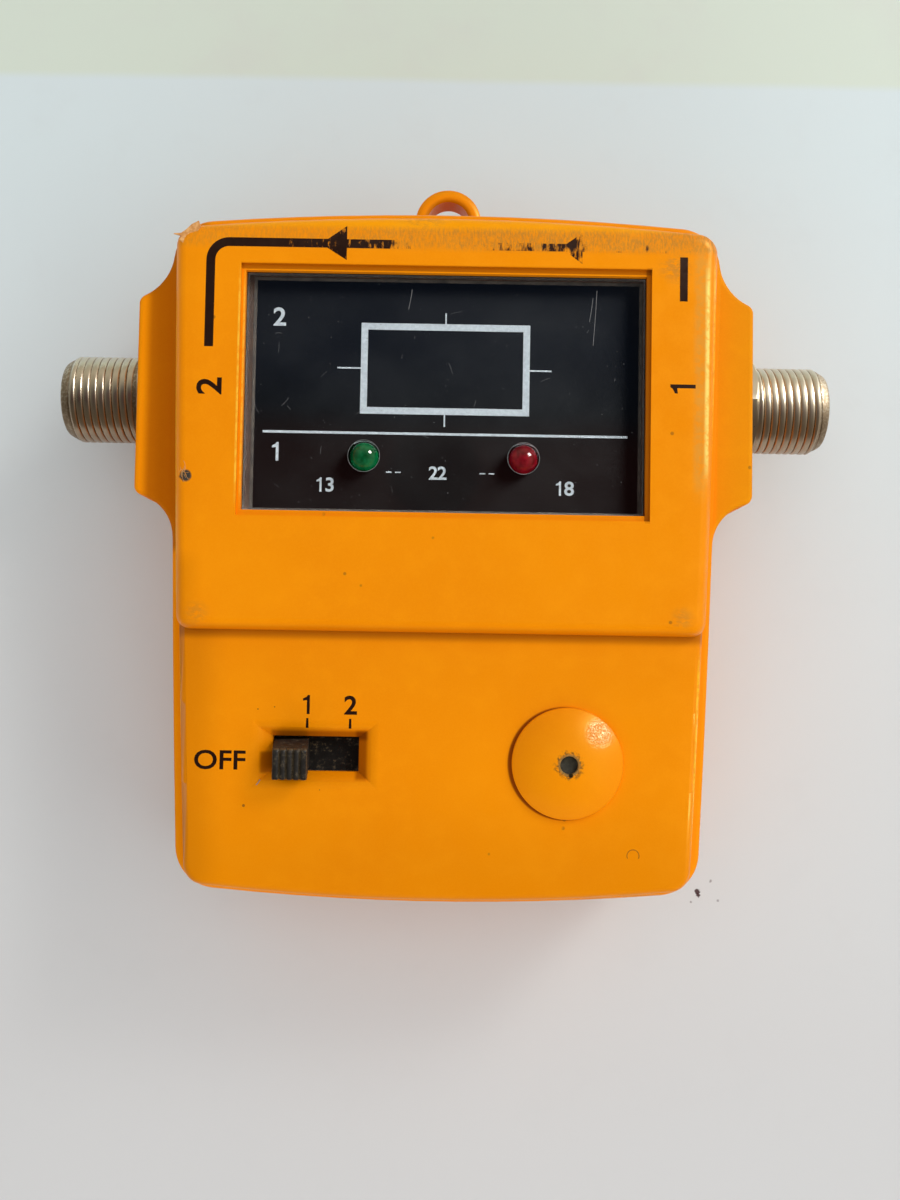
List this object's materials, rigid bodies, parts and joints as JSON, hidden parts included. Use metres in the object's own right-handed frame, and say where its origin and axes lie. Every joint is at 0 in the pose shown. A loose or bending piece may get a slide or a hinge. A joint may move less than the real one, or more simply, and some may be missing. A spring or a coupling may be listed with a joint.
{
  "type": "satellite signal meter",
  "caption": "Flat two-shell hand-held meter with side wings that hold threaded coax sockets, a windowed panel with lamps, a slide switch, a domed sounder cap and a hanging eye.",
  "frame": {"origin": "middle of the bounding box, on the back face that the meter lies on", "axes": "+X to the right through the sockets, +Y up the face towards the hanging eye, +Z out of the face"},
  "size_m": [0.0842, 0.0778, 0.0261],
  "materials": {
    "case_orange": "painted, worn",
    "clear": "clear, scratched",
    "legend": "printed",
    "lamp_green": "tinted, clear",
    "lamp_red": "tinted, clear",
    "black": "moulded",
    "nickel": "plated",
    "white": "moulded",
    "contact": "plated",
    "steel": "bright",
    "tinned": "tinned",
    "board": "solder mask",
    "copper": "bare copper"
  },
  "bodies": {
    "case": {"board_screws": "steel", "capacitors": "white", "case_screws": "steel", "chip": "black", "chokes": "copper", "connector_left": "nickel", "connector_right": "nickel", "contact_left": "contact", "contact_right": "contact", "control_board": "board", "coupler_patch": "copper", "front_shell": "case_orange", "insulator_left": "white", "insulator_right": "white", "led_green": "lamp_green", "led_leads": "tinned", "led_red": "lamp_red", "legend_panel": "legend", "link_block": "black", "link_pins": "tinned", "nut_left": "nickel", "nut_right": "nickel", "rear_shell": "case_orange", "rf_board": "board", "rf_lid": "tinned", "rf_tray": "tinned", "sounder": "black", "sounder_cap": "case_orange", "sounder_pins": "tinned", "switch_base": "black", "switch_frame": "steel", "switch_pins": "tinned", "washer_left": "steel", "washer_right": "steel", "window_lens": "clear"},
    "switch": {"switch_knob": "black", "switch_wiper": "copper"}
  },
  "joints": [
    {"name": "switch_slide", "type": "slide", "parent": "case", "child": "switch", "axis": [1, 0, 0], "range_m": [0, 0.005]}
  ]
}
